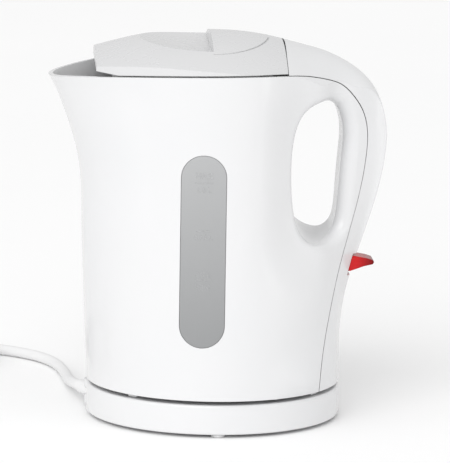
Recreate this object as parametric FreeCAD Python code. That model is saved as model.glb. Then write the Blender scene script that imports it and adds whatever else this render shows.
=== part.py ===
import FreeCAD, Part
import os
from math import atan2, cos, degrees, exp, hypot, pi, radians, sin, sqrt, tan

# A one-litre cordless kettle on a round power base, in millimetres.
# +Z is up, +X points to the handle, -X to the spout. The origin is on the base's axis,
# on the surface that the base's feet stand on.

V = FreeCAD.Vector
UP = V(0, 0, 1)
ACROSS = V(0, 1, 0)
FAR = 150.0

# Overall sizes
BODY_RADIUS = 62.6
BODY_HEIGHT = 158.0
DRAWN_HEIGHT = 158.0
SIDE_TAPER = 1.0
BASE_RADIUS = 63.0
BASE_HEIGHT = 14.5
FOOT_PROUD = 1.5
STAND_GAP = 2.0

# Walls and clearances
WALL = 2.4
GRIP_WALL = 5.0
LID_WALL = 2.0
PART_GAP = 0.25
LID_GAP = 0.85
RUNNING = 0.06
LOOSE = 0.3

# Plan of the body at heights above its foot: height, spout reach and handle reach beyond the
# body radius, depth of the waist beside the grip opening, and how round the front is (2 is round).
STATIONS = [
    (0.0, 0.4, -16.0, 0.0, 2.00),
    (18.0, 1.3, -12.5, 0.0, 2.00),
    (36.0, 2.2, -4.6, 0.0, 2.00),
    (52.0, 2.8, 2.4, 0.5, 2.00),
    (66.0, 3.4, 7.9, 3.0, 2.00),
    (82.0, 3.9, 13.6, 6.0, 2.00),
    (102.0, 4.6, 19.2, 6.5, 1.97),
    (120.0, 8.0, 21.7, 6.5, 1.90),
    (136.0, 13.4, 21.9, 5.5, 1.80),
    (152.0, 20.8, 21.9, 3.5, 1.70),
    (176.0, 21.5, 21.9, 3.5, 1.70),
]
WAIST_TURN = 50.0
WAIST_SPREAD = 15.0
NOSE_WIDTH = 21.6
NOSE_POWER = 2.6
BLEND_POWER = 14.0
PLAN_POINTS = 14
PLAN_CROWDING = 1.35

# Grip opening: its outline in side view, distance beyond the body radius and height above the foot
GRIP_OUTLINE = [
    (-11.6, 142.5), (-22.1, 137.5), (-27.4, 122.0), (-28.0, 107.0), (-26.4, 89.0),
    (-20.6, 75.6), (-13.6, 72.5), (-6.6, 76.8), (-3.0, 90.0), (-1.3, 114.0), (-2.3, 134.0),
]
GRIP_ROUND = 5.0

# Lid
LID_FRONT_SET = 2.0
LID_REAR_SET = 30.7
LID_LIFT_LENGTH = 12.0
LID_LIFT = 2.2
SCOOP_AT = -4.0
SCOOP_LENGTH = 50.0
SCOOP_WIDTH = 80.0
SCOOP_DEPTH = 18.0
SCOOP_RISE = 10.0
PAD_LENGTH = 28.5
PAD_WIDTH = 43.0
GROOVE_WIDTH = 0.8
GROOVE_DEPTH = 0.5
LINER = 1.8
LINER_SIDE_GAP = 1.2
LINER_DROP = 7.0
LINER_FRONT_SET = 9.0
LINER_REAR_SET = 38.0

# Lid hinge
HINGE_SET = 34.1
HINGE_DEPTH = 6.5
HINGE_PIN = 1.5
HINGE_PIN_HALF = 11.0
KNUCKLE = 4.2
KNUCKLE_HALF = 6.0
ARM_EYE = 3.4
ARM_WIDTH = 4.0
BRACKET_PLATE = 2.2

# Water window on the viewer's side
WINDOW_AT = -8.7
WINDOW_WIDTH = 22.0
WINDOW_LOW = 26.2
WINDOW_HIGH = 120.3
WINDOW_LIP = 3.0
WINDOW_FLANGE = 1.6
WINDOW_SEAL = 0.8
WINDOW_FIT = 0.15
SEAL_FIT = 0.05

# Floor and heater
FLOOR_HEIGHT = 17.4
FLOOR_WALL = 2.4
HEATER_OPENING = 40.0
HEATER_LAP = 4.5
PLATE = 0.6
FLOOR_SEAL = 1.2
CLAMP_RING = 2.4
CLAMP_WIDTH = 13.0
CLAMP_SCREWS = 6
CLAMP_SCREW_LENGTH = 5.8
CLAMP_BOSS = 3.0
TUBE_RING = 33.0
TUBE = 3.2
TUBE_OPEN_TURN = 25.0
COLD_PIN = 1.5
COLD_PIN_LENGTH = 4.0
PARTITION_SET = 18.6

# Cordless connector
POST = 11.0
POST_HEIGHT = 11.2
POST_FLANGE = 18.0
POST_FLANGE_THICK = 2.6
POST_SLOT_IN = 5.5
POST_SLOT_OUT = 8.6
POST_SLOT_DEPTH = 9.6
POST_CENTRE_BORE = 2.8
COUPLER = 17.2
COUPLER_ROOF = 2.2
COUPLER_FLANGE = 20.0
COUPLER_FLANGE_THICK = 1.2
CONTACT_BLADE_IN = 6.6
CONTACT_BLADE_OUT = 7.4
EARTH_PIN = 2.0
CONTROL_RING = 27.5
DISC = 4.5
DISC_THICK = 0.4

# Bottom cover and base details
BOTTOM_COVER = 2.0
BOTTOM_COVER_RISE = 0.4
COVER_SCREWS = 3
BODY_FOOT_PAD = 5.0
BODY_FOOT_TURNS = (36.0, 134.0, 226.0, 324.0)
BASE_WALL = 2.2
BASE_PLATE_THICK = 2.0
BASE_FOOT = 3.5
BASE_FOOT_AT = 58.0
BASE_FOOT_TURNS = (-90.0, 0.0, 90.0, 180.0)
BASE_SCREWS = 3
SCREW = 1.3
SCREW_HEAD = 2.6
SCREW_HEAD_THICK = 1.8

# Switch at the bottom of the handle
LEVER_PIVOT_SET = -2.0
LEVER_PIVOT_HEIGHT = 59.0
LEVER_PIN = 1.25
LEVER_HUB = 4.0
LEVER_WIDTH = 14.0
LEVER_TIP = [(7.0, 4.0), (15.0, 2.6), (18.2, 1.6), (18.8, 0.6), (18.0, -0.5), (13.7, -1.5), (7.0, -3.9)]
SWITCH_DEPTH = 9.0
SWITCH_LOW = 48.0
SWITCH_HIGH = 66.0
SWITCH_EAR = 2.2
LAMP = 2.2
LAMP_LENGTH = 9.0
STEAM_TUBE = 3.5
STEAM_BORE = 2.2
WIRE = 1.1

# Supply cord: where it isn't coiled, its route is a list of points chosen by hand
CORD = 5.5
SLEEVE_LENGTH = 30.0
SLEEVE_THICK = 1.3
SLEEVE_END_THICK = 0.6
SLEEVE_FIT = 0.05
SLEEVE_BOSS = 7.0
SLEEVE_BOSS_SET = 4.5
CORD_ROUTE = [
    V(-57.3, 6.8, 8.0),
    V(-65.3, 24.0, 8.0),
    V(-69.3, 42.0, 6.0),
    V(-70.9, 60.0, 3.8),
    V(-71.9, 77.0, 2.9),
    V(-74.0, 94.0, 2.8),
    V(-78.0, 111.0, 2.8),
    V(-86.0, 126.5, 2.8),
    V(-98.5, 139.5, 2.8),
    V(-114.5, 148.0, 3.1),
    V(-132.0, 151.2, 3.75),
    V(-149.0, 151.2, 3.75),
]
COIL_TURNS = 2.25
COIL_REVERSAL = 1.25
COIL_CLIMB = 0.5
COIL_MIDDLE = 33.0
COIL_PITCH = 6.1
TIE = 0.8
TIE_WIDTH = 6.0
TIE_FIT = 0.1
TAIL_STEPS = [
    V(0, 0, 0), V(0, -11.0, 0), V(0, -24.0, 2.4), V(0, -37.0, 6.2), V(0, -49.0, 8.4), V(0, -60.0, 8.4),
]
PLUG_BODY = 18.2
PLUG_NECK = 6.0
PLUG_NECK_LENGTH = 22.0
PLUG_SHOULDER = 10.0
PLUG_BODY_LENGTH = 16.0
PLUG_PIN = 2.4
PLUG_PIN_LENGTH = 19.0
PLUG_PIN_SPACING = 19.0

# Levels and places that follow from the sizes
BASE_TOP = FOOT_PROUD + BASE_HEIGHT
BODY_FOOT = BASE_TOP + STAND_GAP
DECK_UNDER = BASE_TOP - BASE_WALL
FLOOR_TOP = BODY_FOOT + FLOOR_HEIGHT
FLOOR_UNDER = FLOOR_TOP - FLOOR_WALL
PLATE_TOP = FLOOR_UNDER - FLOOR_SEAL
PLATE_UNDER = PLATE_TOP - PLATE
CLAMP_UNDER = PLATE_UNDER - CLAMP_RING
HEATER_RADIUS = HEATER_OPENING + HEATER_LAP
CLAMP_OUT = HEATER_OPENING - 1.0 + CLAMP_WIDTH
CLAMP_BOSS_AT = HEATER_RADIUS + 1.4 + CLAMP_BOSS
BOTTOM_LOW = BODY_FOOT + BOTTOM_COVER_RISE
BOTTOM_TOP = BOTTOM_LOW + BOTTOM_COVER
COUPLER_LOW = BOTTOM_LOW
COUPLER_FLANGE_LOW = BOTTOM_TOP + LOOSE
POST_TOP = BASE_TOP + POST_HEIGHT
COUPLER_CAVITY_TOP = POST_TOP + LOOSE
COUPLER_TOP = COUPLER_CAVITY_TOP + COUPLER_ROOF
CONTROL_LOW = COUPLER_FLANGE_LOW + COUPLER_FLANGE_THICK + LOOSE
CONTROL_TOP = PLATE_UNDER - 0.8


def level(height):
    """Height above the body's foot, on the side drawing, as a z."""
    return BODY_FOOT + height * BODY_HEIGHT / DRAWN_HEIGHT


def aft(beyond):
    """Distance beyond the body radius on the handle's side, as an x."""
    return BODY_RADIUS + beyond


def fore(beyond):
    """Distance beyond the body radius on the spout's side, as an x."""
    return -(BODY_RADIUS + beyond)


# Crest of the lid and handle in side view, with the radius of the crown across it
CREST = [
    (fore(28.0), 157.5, 170.0),
    (fore(12.7), 161.0, 167.5),
    (fore(-2.6), 165.2, 165.0),
    (fore(-26.6), 171.2, 155.0),
    (fore(-57.6), 173.7, 150.0),
    (aft(-42.6), 172.2, 130.0),
    (aft(-28.6), 169.4, 100.0),
    (aft(-14.6), 166.0, 54.0),
    (aft(-4.6), 162.5, 31.0),
    (aft(3.4), 158.2, 21.5),
    (aft(10.4), 152.8, 17.5),
    (aft(16.4), 145.2, 16.0),
    (aft(20.4), 134.5, 15.5),
    (aft(22.0), 123.0, 15.5),
]
CANOPY_HALF = BODY_RADIUS + 7.4

# Parting line of the jug, in side view: the rim under the lid, then the seam of the handle cover
PARTING = [
    (fore(28.0), 150.6), (fore(-1.6), 154.9), (fore(-32.0), 157.0), (0.0, 158.0), (aft(-37.0), 157.9),
    (aft(-22.0), 156.4), (aft(-10.6), 153.6), (aft(-2.6), 150.2), (aft(3.6), 144.3), (aft(8.4), 137.0),
    (aft(11.2), 127.0), (aft(10.8), 112.5), (aft(8.4), 97.5), (aft(3.2), 76.5), (aft(-4.2), 49.0),
    (aft(-9.2), 25.5), (aft(-12.2), -2.0),
]

# Rear wall of the vessel in side view
REAR_WALL = [
    (aft(-PARTITION_SET), 0.0), (aft(-PARTITION_SET), 44.0), (aft(-20.0), 56.0), (aft(-26.0), 70.0),
    (aft(-30.0), 82.0), (aft(-30.4), 97.0), (aft(-30.4), 135.0), (aft(-31.0), 185.0),
]


def save(shape, name):
    """Write one named piece."""
    shape.exportStep("parts/" + name + ".step")
    print(name, len(shape.Solids), "solids", round(shape.Volume / 1000, 2), "cm3")


def cylinder(radius, low, high, x=0.0, y=0.0):
    return Part.makeCylinder(radius, high - low, V(x, y, low))


def ring(inner, outer, low, high, x=0.0, y=0.0):
    return cylinder(outer, low, high, x, y).cut(cylinder(inner, low - 1, high + 1, x, y))


def block(x0, x1, y0, y1, z0, z1):
    return Part.makeBox(x1 - x0, y1 - y0, z1 - z0, V(x0, y0, z0))


def cross_bar(radius, x, z, y0, y1):
    """A round bar across the kettle."""
    return Part.makeCylinder(radius, y1 - y0, V(x, y0, z), ACROSS)


def spline(points, closed=False):
    curve = Part.BSplineCurve()
    curve.interpolate(Points=points, PeriodicFlag=closed)
    return curve


def prism(wire, y0, y1):
    """A side-view outline, drawn at y = 0, carried from y0 to y1."""
    face = Part.Face(wire)
    face.translate(V(0, y0, 0))
    return face.extrude(V(0, y1 - y0, 0))


def polygon(points):
    return Part.makePolygon(points + [points[0]])


def turned(shape, turn):
    copy = shape.copy()
    copy.rotate(V(0, 0, 0), UP, turn)
    return copy


def around(shape, count, first=0.0):
    """Copies of a shape evenly round the axis, as one group."""
    return Part.makeCompound([turned(shape, first + 360.0 * i / count) for i in range(count)])


def screw(x, y, head_low, length, radius=SCREW):
    """A pan-head screw that points up."""
    head = cylinder(SCREW_HEAD, head_low, head_low + SCREW_HEAD_THICK, x, y)
    shank = cylinder(radius, head_low, head_low + SCREW_HEAD_THICK + length, x, y)
    return head.fuse(shank).removeSplitter()


# Body form

def plan_radius(turn, station):
    """Distance of the body's plan outline from the axis; turn 0 is the handle, 180 the spout."""
    height, keel, nose, waist, power = station
    side = BODY_RADIUS - SIDE_TAPER * height / DRAWN_HEIGHT
    along = abs(cos(radians(turn)))
    across = abs(sin(radians(turn)))
    if abs(turn) >= 90:
        return ((along / (BODY_RADIUS + keel)) ** power + (across / side) ** power) ** (-1 / power)
    jug = side - waist * exp(-((abs(turn) - WAIST_TURN) / WAIST_SPREAD) ** 2)
    shape = (along / (BODY_RADIUS + nose)) ** NOSE_POWER + (across / NOSE_WIDTH) ** NOSE_POWER
    handle = shape ** (-1 / NOSE_POWER)
    return (jug ** BLEND_POWER + handle ** BLEND_POWER) ** (1 / BLEND_POWER)


def plan_point(turn, station, inset):
    """A point of the plan outline, moved inwards along its normal."""
    step = 0.5

    def place(angle):
        radius = plan_radius(angle, station)
        return V(radius * cos(radians(angle)), radius * sin(radians(angle)), level(station[0]))

    tangent = place(turn + step).sub(place(turn - step)).normalize()
    inward = UP.cross(tangent)
    return place(turn).add(inward * inset)


def plan_half(station, inset, side):
    """One half of the plan outline, smooth where the halves meet on the middle plane."""
    turns = [180 * (i / PLAN_POINTS) ** PLAN_CROWDING for i in range(PLAN_POINTS, -1, -1)]
    points = [plan_point(side * turn, station, inset) for turn in turns]
    curve = Part.BSplineCurve()
    curve.interpolate(Points=points, InitialTangent=ACROSS * side, FinalTangent=ACROSS * -side)
    if side > 0:
        curve.reverse()
    return curve.toShape()


def wall_form(inset):
    """All inside the body's side walls, as one tall solid."""
    wires = [Part.Wire([plan_half(s, inset, 1), plan_half(s, inset, -1)]) for s in STATIONS]
    return Part.makeLoft(wires, True, False)


def crest_curve():
    return spline([V(x, 0, level(h)) for x, h, crown in CREST])


def crest_height(x):
    """Height of the crest over a place along X."""
    line = Part.LineSegment(V(x, 0, 0), V(x, 0, 4 * FAR)).toShape()
    return crest_curve().toShape().distToShape(line)[1][0][0].z


def canopy(inset):
    """All that lies under the crowned top of lid and handle."""
    curve = crest_curve()
    wires = []
    for x, h, crown in CREST:
        tangent = curve.tangent(curve.parameter(V(x, 0, level(h))))[0]
        top = V(x, 0, level(h)).add(V(tangent.z, 0, -tangent.x) * inset)
        bend = crown - inset
        half = min(CANOPY_HALF, 0.97 * bend)
        edge = top.z - (bend - sqrt(bend * bend - half * half))
        near = V(top.x, -half, edge)
        far = V(top.x, half, edge)
        near_foot = V(top.x, -half, 0)
        far_foot = V(top.x, half, 0)
        wires.append(Part.Wire([
            Part.Arc(near, top, far).toShape(),
            Part.LineSegment(far, far_foot).toShape(),
            Part.LineSegment(far_foot, near_foot).toShape(),
            Part.LineSegment(near_foot, near).toShape(),
        ]))
    return Part.makeLoft(wires, True, False)


def parting_curve(shift):
    return spline([V(x + shift, 0, level(h) + shift) for x, h in PARTING]).toShape()


def closed_by(edge, corners):
    """A side-view outline: an edge, closed by straight lines through further corners."""
    first = edge.valueAt(edge.FirstParameter)
    last = edge.valueAt(edge.LastParameter)
    stops = [last] + corners + [first]
    lines = [Part.LineSegment(a, b).toShape() for a, b in zip(stops, stops[1:])]
    return Part.Wire([edge] + lines)


def under_parting(shift=0.0):
    edge = parting_curve(shift)
    low = V(-FAR, 0, edge.valueAt(edge.LastParameter).z)
    return prism(closed_by(edge, [low, V(-FAR, 0, level(PARTING[0][1]) + shift)]), -FAR, FAR)


def over_parting(shift):
    edge = parting_curve(shift)
    low = V(FAR, 0, edge.valueAt(edge.LastParameter).z)
    high = level(2 * DRAWN_HEIGHT)
    corners = [low, V(FAR, 0, high), V(-FAR, 0, high), V(-FAR, 0, level(PARTING[0][1]) + shift)]
    return prism(closed_by(edge, corners), -FAR, FAR)


def grip_hole(grow):
    """The grip opening right through, its outline moved outwards."""
    curve = spline([V(aft(x), 0, level(h)) for x, h in GRIP_OUTLINE], True)
    count = 3 * len(GRIP_OUTLINE)
    span = curve.LastParameter - curve.FirstParameter
    points = []
    for i in range(count):
        at = curve.FirstParameter + span * i / count
        tangent = curve.tangent(at)[0]
        points.append(curve.value(at).add(V(tangent.z, 0, -tangent.x) * grow))
    return prism(Part.Wire(spline(points, True).toShape()), -FAR, FAR)


def rounded_grip(solid):
    """Round the two rims of the grip opening."""
    left = aft(min(x for x, h in GRIP_OUTLINE))
    right = aft(max(x for x, h in GRIP_OUTLINE))
    low = level(min(h for x, h in GRIP_OUTLINE))
    high = level(max(h for x, h in GRIP_OUTLINE))
    rims = []
    for edge in solid.Edges:
        box = edge.BoundBox
        inside = box.XMin > left - 1 and box.XMax < right + 1 and box.ZMin > low - 1 and box.ZMax < high + 1
        if inside and (box.YMin > 1 or box.YMax < -1):
            rims.append(edge)
    return solid.makeFillet(GRIP_ROUND, rims)


def rear_of_vessel(shift):
    """All behind the vessel's rear wall."""
    edge = spline([V(x + shift, 0, level(h)) for x, h in REAR_WALL]).toShape()
    low = edge.valueAt(edge.FirstParameter).z
    high = edge.valueAt(edge.LastParameter).z
    return prism(closed_by(edge, [V(FAR, 0, high), V(FAR, 0, low)]), -FAR, FAR)


outer_walls = wall_form(0.0)
inner_walls = wall_form(WALL)
whole_form = outer_walls.common(canopy(0.0))
inner_form = inner_walls.common(canopy(WALL))
body_form = rounded_grip(whole_form.cut(grip_hole(0.0)))
handle_hollow = inner_form.cut(grip_hole(GRIP_WALL)).common(rear_of_vessel(WALL))

# Hinge place
HINGE_X = aft(-HINGE_SET)
HINGE_Z = crest_height(HINGE_X) - HINGE_DEPTH
LID_FRONT = fore(-LID_FRONT_SET)
LID_REAR = aft(-LID_REAR_SET)
SKY = level(2 * DRAWN_HEIGHT)


# Jug

def stadium(at, width, low, high, grow, y0, y1):
    """A tall slot with round ends, carried along Y."""
    half = width / 2 + grow
    top = high - width / 2
    bottom = low + width / 2
    wire = Part.Wire([
        Part.LineSegment(V(at + half, 0, bottom), V(at + half, 0, top)).toShape(),
        Part.Arc(V(at + half, 0, top), V(at, 0, top + half), V(at - half, 0, top)).toShape(),
        Part.LineSegment(V(at - half, 0, top), V(at - half, 0, bottom)).toShape(),
        Part.Arc(V(at - half, 0, bottom), V(at, 0, bottom - half), V(at + half, 0, bottom)).toShape(),
    ])
    return prism(wire, y0, y1)


def window_slot(grow):
    return stadium(WINDOW_AT, WINDOW_WIDTH, level(WINDOW_LOW), level(WINDOW_HIGH), grow, -FAR, 0)


def clamp_bosses():
    """Pillars under the floor that take the heater's clamp screws."""
    boss = cylinder(CLAMP_BOSS, PLATE_UNDER, FLOOR_UNDER + FLOOR_WALL / 2, CLAMP_BOSS_AT, 0)
    return around(boss, CLAMP_SCREWS, 30)


def clamp_holes():
    top = CLAMP_UNDER + CLAMP_SCREW_LENGTH + LOOSE
    hole = cylinder(SCREW + RUNNING, CLAMP_UNDER - 1, top, CLAMP_BOSS_AT, 0)
    return around(hole, CLAMP_SCREWS, 30)


PILLAR = 3.2
PILLAR_AT = CLAMP_OUT + LOOSE + PILLAR
PILLAR_DEPTH = 6.0


def cover_pillars():
    pillar = cylinder(PILLAR, BOTTOM_TOP, FLOOR_UNDER + FLOOR_WALL / 2, PILLAR_AT, 0)
    return around(pillar, COVER_SCREWS, 60)


def cover_holes():
    hole = cylinder(SCREW + RUNNING, BOTTOM_LOW - 1, BOTTOM_TOP + PILLAR_DEPTH + LOOSE, PILLAR_AT, 0)
    return around(hole, COVER_SCREWS, 60)


STEAM_LEVEL = level(152.3)
STEAM_START = aft(-30.6) + WALL + LOOSE


def jug_shell():
    vessel = inner_walls.cut(rear_of_vessel(0.0))
    vessel = vessel.common(block(-FAR, FAR, -FAR, FAR, FLOOR_TOP, SKY))
    skirt = inner_walls.common(block(-FAR, FAR, -FAR, FAR, 0, FLOOR_UNDER))
    shell = body_form.common(under_parting())
    shell = shell.cut([vessel, skirt, handle_hollow])
    shell = shell.cut([cylinder(HEATER_OPENING, 0, FLOOR_TOP + 1), window_slot(0.0)])
    shell = shell.fuse(clamp_bosses().Solids + cover_pillars().Solids)
    steam_way = Part.makeCylinder(STEAM_BORE, 3 * WALL, V(STEAM_START - 2 * WALL, 0, STEAM_LEVEL), V(1, 0, 0))
    return shell.cut(clamp_holes().Solids + cover_holes().Solids + [steam_way])


def water_window():
    back = wall_form(WALL + WINDOW_SEAL + WINDOW_FLANGE)
    front = wall_form(WALL + WINDOW_SEAL)
    pane = outer_walls.cut(back).common(window_slot(-WINDOW_FIT))
    flange = front.cut(back).common(window_slot(WINDOW_LIP))
    seal = wall_form(WALL + SEAL_FIT).cut(front).common(window_slot(WINDOW_LIP).cut(window_slot(0.0)))
    return pane.fuse(flange).removeSplitter(), seal


# Lid

def scoop(grow):
    """The finger scoop in the lid: a flat ellipsoid, cut off by the wall of the grip pad."""
    ball = Part.makeSphere(1.0)
    stretch = FreeCAD.Matrix()
    stretch.scale(SCOOP_LENGTH + grow, SCOOP_WIDTH + grow, SCOOP_DEPTH + grow)
    stretch.move(V(SCOOP_AT, 0, crest_height(SCOOP_AT) + SCOOP_RISE))
    return ball.transformGeometry(stretch).common(block(-FAR, SCOOP_AT + grow, -FAR, FAR, 0, SKY))


def pad_groove():
    """The thin line round the grip pad, behind the scoop."""
    def oval(grow):
        across = PAD_WIDTH + grow
        along = PAD_LENGTH + grow
        if across > along:
            shape = Part.Ellipse(V(SCOOP_AT, across, 0), V(SCOOP_AT + along, 0, 0), V(SCOOP_AT, 0, 0))
        else:
            shape = Part.Ellipse(V(SCOOP_AT + along, 0, 0), V(SCOOP_AT, across, 0), V(SCOOP_AT, 0, 0))
        return Part.Face(Part.Wire(shape.toShape())).extrude(V(0, 0, SKY))
    band = oval(GROOVE_WIDTH).cut(oval(0.0)).common(block(SCOOP_AT, FAR, -FAR, FAR, 0, SKY))
    return band.cut(canopy(GROOVE_DEPTH))


def lid_zone():
    """The part of the form that belongs to the lid."""
    zone = over_parting(LID_GAP).common(block(LID_FRONT, LID_REAR, -FAR, FAR, 0, SKY))
    rim = level(PARTING[1][1]) + LID_GAP
    wedge = polygon([
        V(LID_FRONT - 1, 0, rim - FAR), V(LID_FRONT - 1, 0, rim + LID_LIFT), V(LID_FRONT, 0, rim + LID_LIFT),
        V(LID_FRONT + LID_LIFT_LENGTH, 0, rim + LID_LIFT / 3), V(LID_FRONT + LID_LIFT_LENGTH, 0, rim - FAR),
    ])
    return zone.cut(prism(wedge, -FAR, FAR))


def lid_top():
    hollow = wall_form(LID_WALL).common(canopy(LID_WALL))
    hollow = hollow.common(block(LID_FRONT + LID_WALL, FAR, -FAR, FAR, 0, SKY)).cut(scoop(LID_WALL))
    skin = whole_form.common(lid_zone()).cut([hollow, scoop(0.0), pad_groove()])
    knuckle = cross_bar(KNUCKLE, HINGE_X, HINGE_Z, -KNUCKLE_HALF, KNUCKLE_HALF).common(whole_form)
    hanger = block(HINGE_X - KNUCKLE, HINGE_X + LOOSE, -KNUCKLE_HALF, KNUCKLE_HALF, HINGE_Z, SKY)
    skin = skin.fuse([knuckle, hanger.common(whole_form)])
    pin_reach = HINGE_PIN_HALF + LOOSE
    pin_hole = cross_bar(HINGE_PIN + RUNNING, HINGE_X, HINGE_Z, -pin_reach, pin_reach)
    return skin.cut(pin_hole).removeSplitter()


def lid_liner():
    front = LID_FRONT + LID_WALL + LOOSE
    plate = wall_form(LID_WALL + LOOSE).common(canopy(LID_WALL + LOOSE))
    plate = plate.common(over_parting(LID_GAP + LID_LIFT)).cut(over_parting(LID_GAP + LID_LIFT + LINER))
    plate = plate.common(block(front, aft(-LINER_REAR_SET), -FAR, FAR, 0, SKY)).cut(scoop(LID_WALL + LOOSE))
    outer = wall_form(WALL + LINER_SIDE_GAP)
    inner = wall_form(WALL + LINER_SIDE_GAP + LINER)
    length = (LID_FRONT + LINER_FRONT_SET, aft(-LINER_REAR_SET))
    depth = over_parting(-LINER_DROP).cut(over_parting(LID_GAP + LID_LIFT + LINER / 2))
    outer = outer.common(block(length[0], length[1], -FAR, FAR, 0, SKY))
    inner = inner.common(block(length[0] + LINER, length[1] - LINER, -FAR, FAR, 0, SKY))
    skirt = outer.cut(inner).common(depth).common(canopy(LID_WALL + LOOSE))
    return plate.fuse(skirt).removeSplitter()


def hinge_barrel(grow):
    """The room that the lid's rear edge sweeps, a barrel round the hinge axis."""
    reach = LID_REAR - HINGE_X
    crown = crest_crown(LID_REAR)
    top = crest_height(LID_REAR) - HINGE_Z
    points = []
    steps = 8
    end = sqrt(2 * crown * top)
    for i in range(steps + 1):
        y = end * i / steps
        rise = max(0.0, top - (crown - sqrt(crown * crown - y * y)))
        points.append(V(HINGE_X, y, HINGE_Z + hypot(reach, rise) + grow))
    rim = spline([V(p.x, -p.y, p.z) for p in reversed(points[1:])] + points).toShape()
    foot_far = V(HINGE_X, end, HINGE_Z)
    foot_near = V(HINGE_X, -end, HINGE_Z)
    face = Part.Face(closed_by(rim, [foot_far, foot_near]))
    return face.revolve(V(HINGE_X, 0, HINGE_Z), ACROSS, 360)


def crest_crown(x):
    """Radius of the crown across the crest, between two stations."""
    for (x0, h0, r0), (x1, h1, r1) in zip(CREST, CREST[1:]):
        if x0 <= x <= x1:
            return r0 + (r1 - r0) * (x - x0) / (x1 - x0)


GRIP_ROOF = level(max(h for x, h in GRIP_OUTLINE)) + GRIP_WALL
ARM_NEAR = KNUCKLE_HALF + LOOSE
BRACKET_FOOT_AT = aft(-18.6)
BRACKET_FOOT_LENGTH = 12.0
BRACKET_FOOT_WIDTH = 8.0


def hinge_bracket():
    """Two arms that carry the lid's hinge pin, standing on the roof of the grip opening."""
    rim = level(DRAWN_HEIGHT) + 2 * LOOSE
    seat = GRIP_ROOF + LOOSE
    wall_back = aft(-30.4) + WALL + 2.0
    heel = BRACKET_FOOT_AT + BRACKET_FOOT_LENGTH
    profile = polygon([
        V(HINGE_X - ARM_EYE + 1.0, 0, HINGE_Z), V(HINGE_X - ARM_EYE + 1.0, 0, rim), V(wall_back, 0, rim),
        V(BRACKET_FOOT_AT, 0, seat), V(heel, 0, seat), V(heel, 0, seat + BRACKET_PLATE),
        V(BRACKET_FOOT_AT + 2, 0, seat + BRACKET_PLATE), V(wall_back + 2.8, 0, rim + 2),
        V(HINGE_X + ARM_EYE - 1.0, 0, rim + 2), V(HINGE_X + ARM_EYE - 1.0, 0, HINGE_Z),
    ])
    arm = prism(profile, ARM_NEAR, ARM_NEAR + ARM_WIDTH)
    eye = cross_bar(ARM_EYE, HINGE_X, HINGE_Z, ARM_NEAR, ARM_NEAR + ARM_WIDTH)
    foot = block(BRACKET_FOOT_AT, heel, ARM_NEAR, ARM_NEAR + BRACKET_FOOT_WIDTH, seat, seat + BRACKET_PLATE)
    hole = cross_bar(HINGE_PIN + RUNNING, HINGE_X, HINGE_Z, -FAR, FAR)
    one = arm.fuse([eye, foot]).cut(hole).removeSplitter()
    other = one.mirror(V(0, 0, 0), ACROSS)
    return Part.makeCompound([one, other])


# Handle cover and switch

LEVER_X = aft(LEVER_PIVOT_SET)
LEVER_Z = level(LEVER_PIVOT_HEIGHT)
COVER_BOSS_AT = aft(-6.0)
COVER_BOSS = 3.0
COVER_BOSS_HIGH = 14.0


def handle_cover():
    zone = over_parting(PART_GAP).common(block(LID_REAR + PART_GAP, FAR, -FAR, FAR, BODY_FOOT, SKY))
    shell = body_form.common(zone).cut([inner_form, hinge_barrel(PART_GAP)])
    half = LEVER_WIDTH / 2 + LOOSE
    slot = block(LEVER_X, FAR, -half, half, LEVER_Z - 6.0, LEVER_Z + 5.0)
    boss = cylinder(COVER_BOSS, BOTTOM_TOP, level(COVER_BOSS_HIGH), COVER_BOSS_AT, 0)
    rib = block(COVER_BOSS_AT, aft(-WALL / 2), -1.2, 1.2, BOTTOM_TOP, level(COVER_BOSS_HIGH))
    hole = cylinder(SCREW + RUNNING, 0, BOTTOM_TOP + PILLAR_DEPTH + LOOSE, COVER_BOSS_AT, 0)
    return shell.cut(slot).fuse([boss, rib]).cut(hole).removeSplitter()


def switch_lever():
    corners = [(0, LEVER_HUB)] + LEVER_TIP + [(0, -LEVER_HUB)]
    outline = polygon([V(LEVER_X + x, 0, LEVER_Z + z) for x, z in corners])
    half = LEVER_WIDTH / 2
    arm = prism(outline, -half, half)
    hub = cross_bar(LEVER_HUB, LEVER_X, LEVER_Z, -half, half)
    hole = cross_bar(LEVER_PIN + RUNNING, LEVER_X, LEVER_Z, -FAR, FAR)
    return arm.fuse(hub).cut(hole).removeSplitter()


SWITCH_FRONT = aft(-PARTITION_SET) + WALL + LOOSE
SWITCH_BACK = SWITCH_FRONT + SWITCH_DEPTH
EAR_NEAR = LEVER_WIDTH / 2 + LOOSE
EAR_FAR = EAR_NEAR + SWITCH_EAR


def switch_housing():
    body = block(SWITCH_FRONT, SWITCH_BACK, -EAR_FAR, EAR_FAR, level(SWITCH_LOW), level(SWITCH_HIGH))
    ears = []
    for side in (-1, 1):
        near, far = sorted((side * EAR_NEAR, side * EAR_FAR))
        ears.append(block(SWITCH_BACK - 1, LEVER_X + 2.4, near, far, LEVER_Z - 3.2, LEVER_Z + 3.2))
    hole = cross_bar(LEVER_PIN + RUNNING, LEVER_X, LEVER_Z, -FAR, FAR)
    return body.fuse(ears).cut(hole).removeSplitter()


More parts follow.
